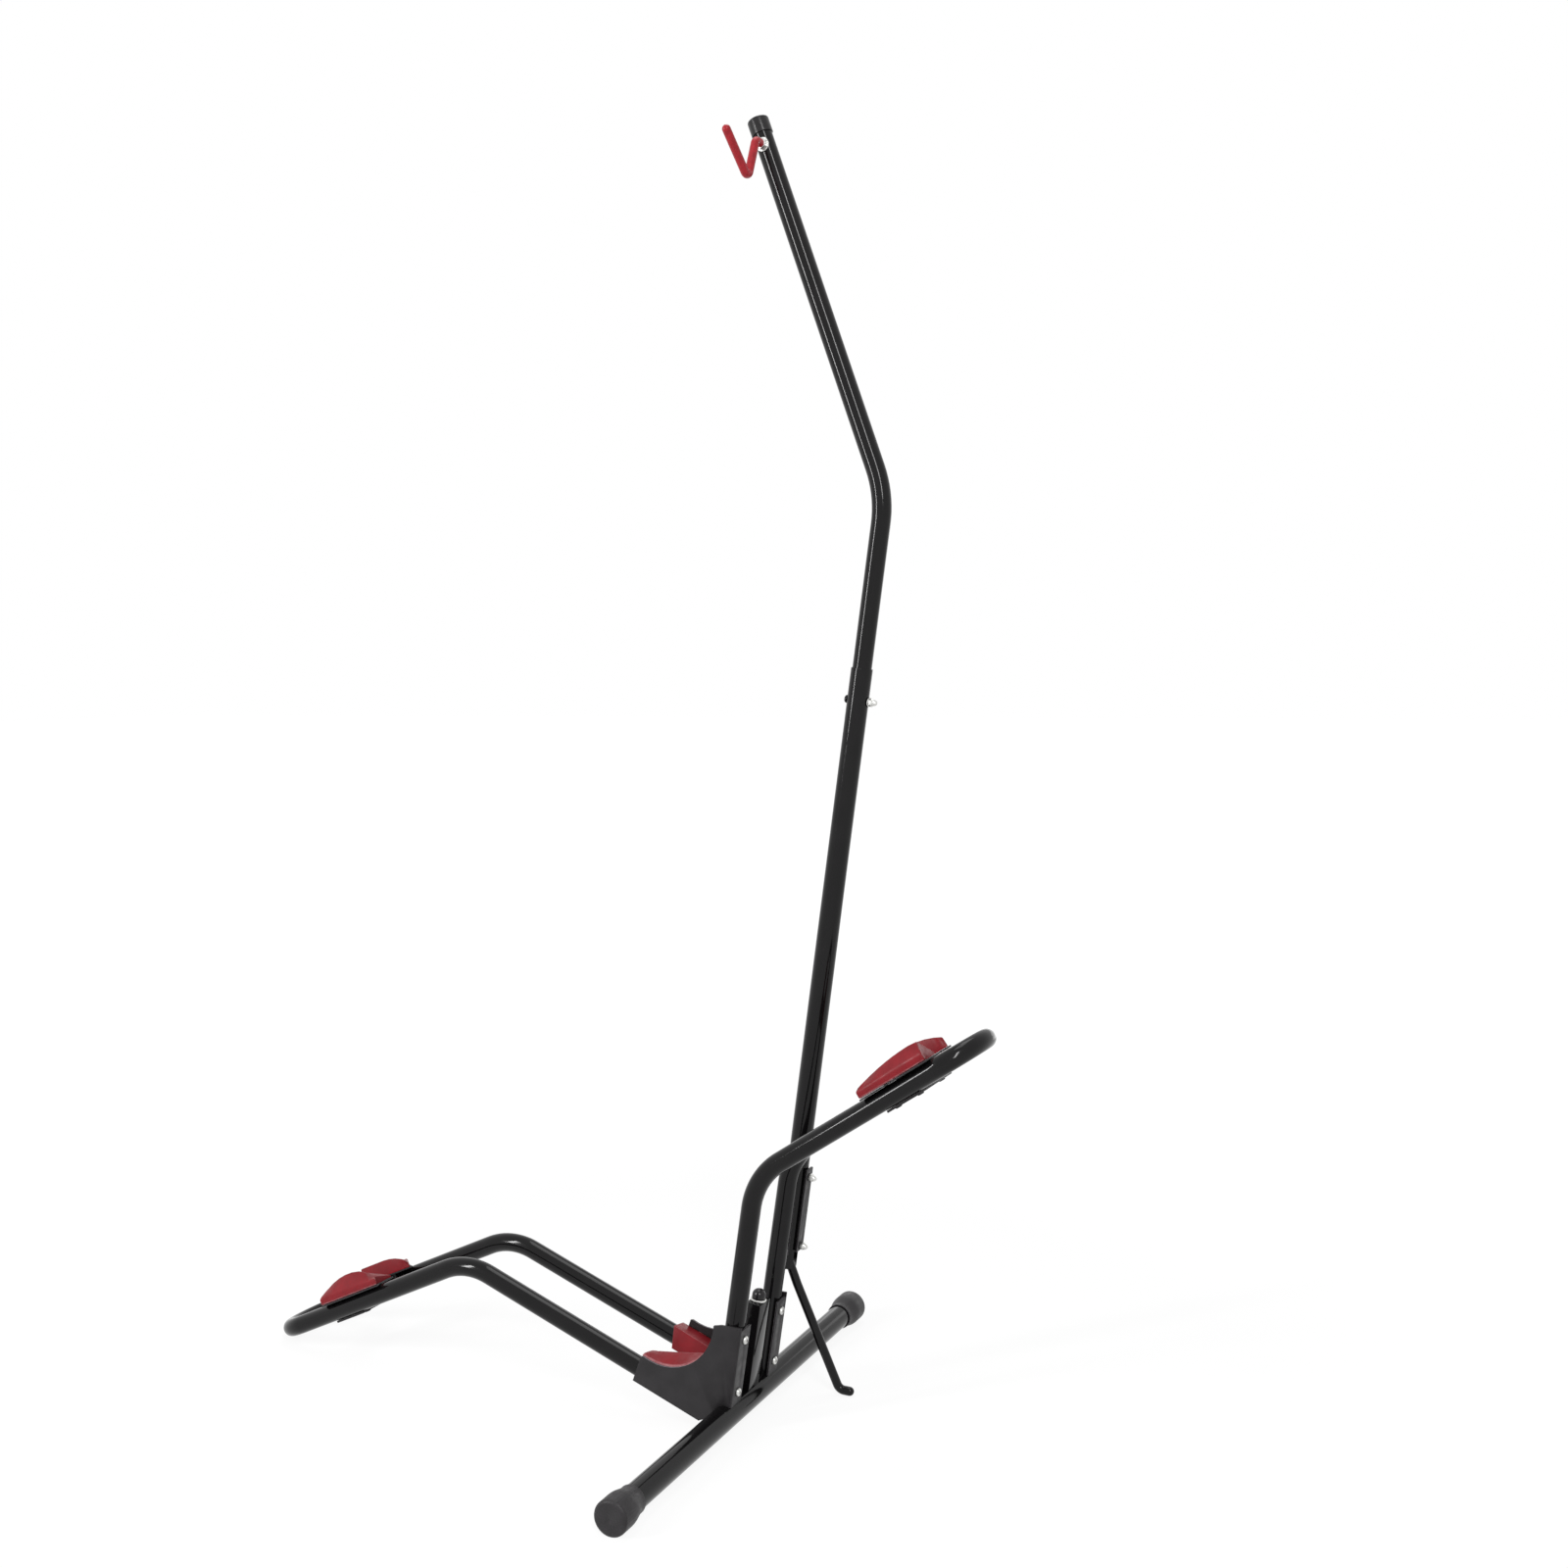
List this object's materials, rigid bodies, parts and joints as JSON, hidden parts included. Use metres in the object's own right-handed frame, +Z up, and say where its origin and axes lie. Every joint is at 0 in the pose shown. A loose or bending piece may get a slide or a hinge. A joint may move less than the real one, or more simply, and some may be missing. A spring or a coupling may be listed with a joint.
{
  "type": "vertical bike stand",
  "caption": "Floor stand for an upright bicycle: two bent tube hoops with red wheel pads form a V on a crossbar, and a telescoping mast beside them ends in a red wheel hook.",
  "frame": {"origin": "on the floor, in the middle of the rectangle that the stand covers, with the wheel's plane at Y = 0", "axes": "+X from the lower hoop's tip towards the leaning upper hoop and the kickstand, +Y along the crossbar towards the mast's side, +Z up"},
  "size_m": [1.0788, 0.715, 1.6785],
  "materials": {
    "black_enamel": "gloss",
    "dark_plate": "satin",
    "dark_plastic": "satin",
    "gloss_plastic": "gloss",
    "black_screw": "satin",
    "red_pad": "semi-gloss",
    "red_coating": "satin",
    "bright_steel": "bright zinc"
  },
  "bodies": {
    "stand_frame": {"crossbar": "black_enamel", "crossbar_cap_near": "dark_plastic", "crossbar_cap_far": "dark_plastic", "lower_hoop": "black_enamel", "upper_hoop": "black_enamel", "cheek_near": "dark_plate", "cheek_far": "dark_plate", "cheek_bolt_near_low": "bright_steel", "cheek_bolt_near_high": "bright_steel", "cheek_bolt_far_low": "bright_steel", "cheek_bolt_far_high": "bright_steel", "cheek_nut_near_low": "bright_steel", "cheek_nut_near_high": "bright_steel", "cheek_nut_far_low": "bright_steel", "cheek_nut_far_high": "bright_steel", "valley_pad_near": "red_pad", "valley_pad_far": "red_pad", "lower_pad_near": "red_pad", "lower_pad_far": "red_pad", "upper_pad_near": "red_pad", "upper_pad_far": "red_pad", "lower_backing_near": "dark_plastic", "lower_backing_far": "dark_plastic", "upper_backing_near": "dark_plastic", "upper_backing_far": "dark_plastic", "lower_clamp_plate": "dark_plate", "upper_clamp_plate": "dark_plate", "lower_screw_near_front": "black_screw", "lower_screw_near_rear": "black_screw", "lower_screw_far_front": "black_screw", "lower_screw_far_rear": "black_screw", "upper_screw_near_front": "black_screw", "upper_screw_near_rear": "black_screw", "upper_screw_far_front": "black_screw", "upper_screw_far_rear": "black_screw", "centre_post": "black_enamel", "post_collar": "bright_steel", "post_knob": "gloss_plastic", "mast_bracket": "dark_plate", "mast_strip": "dark_plate", "mast_bolt_low": "bright_steel", "mast_bolt_high": "bright_steel", "mast_nut_low": "bright_steel", "mast_nut_high": "bright_steel", "mast_lower": "black_enamel", "clamp_bolt": "black_screw", "clamp_washer": "bright_steel", "kickstand_pin": "bright_steel", "kickstand_bush_near": "dark_plastic", "kickstand_bush_far": "dark_plastic"},
    "mast_top": {"mast_upper": "black_enamel", "mast_cap": "gloss_plastic", "hook": "red_coating", "hook_washer_near": "bright_steel", "hook_washer_far": "bright_steel", "hook_nut_near": "bright_steel", "hook_nut_far": "bright_steel"},
    "clamp_nut": {"clamp_nut": "bright_steel"},
    "kickstand": {"kickstand": "black_enamel"}
  },
  "joints": [
    {"name": "mast_slide", "type": "slide", "parent": "stand_frame", "child": "mast_top", "axis": [0.1445, 0, 0.9895], "range_m": [-0.02, 0.1]},
    {"name": "clamp_nut_turn", "type": "hinge", "parent": "stand_frame", "child": "clamp_nut", "pos_m": [0.33226, 0.0838, 0.92696], "axis": [0.9895, 0, -0.1445], "continuous": true},
    {"name": "kickstand_fold", "type": "hinge", "parent": "stand_frame", "child": "kickstand", "pos_m": [0.22428, 0.0838, 0.1877], "axis": [0, -1, 0], "range_deg": [0, 50]}
  ]
}
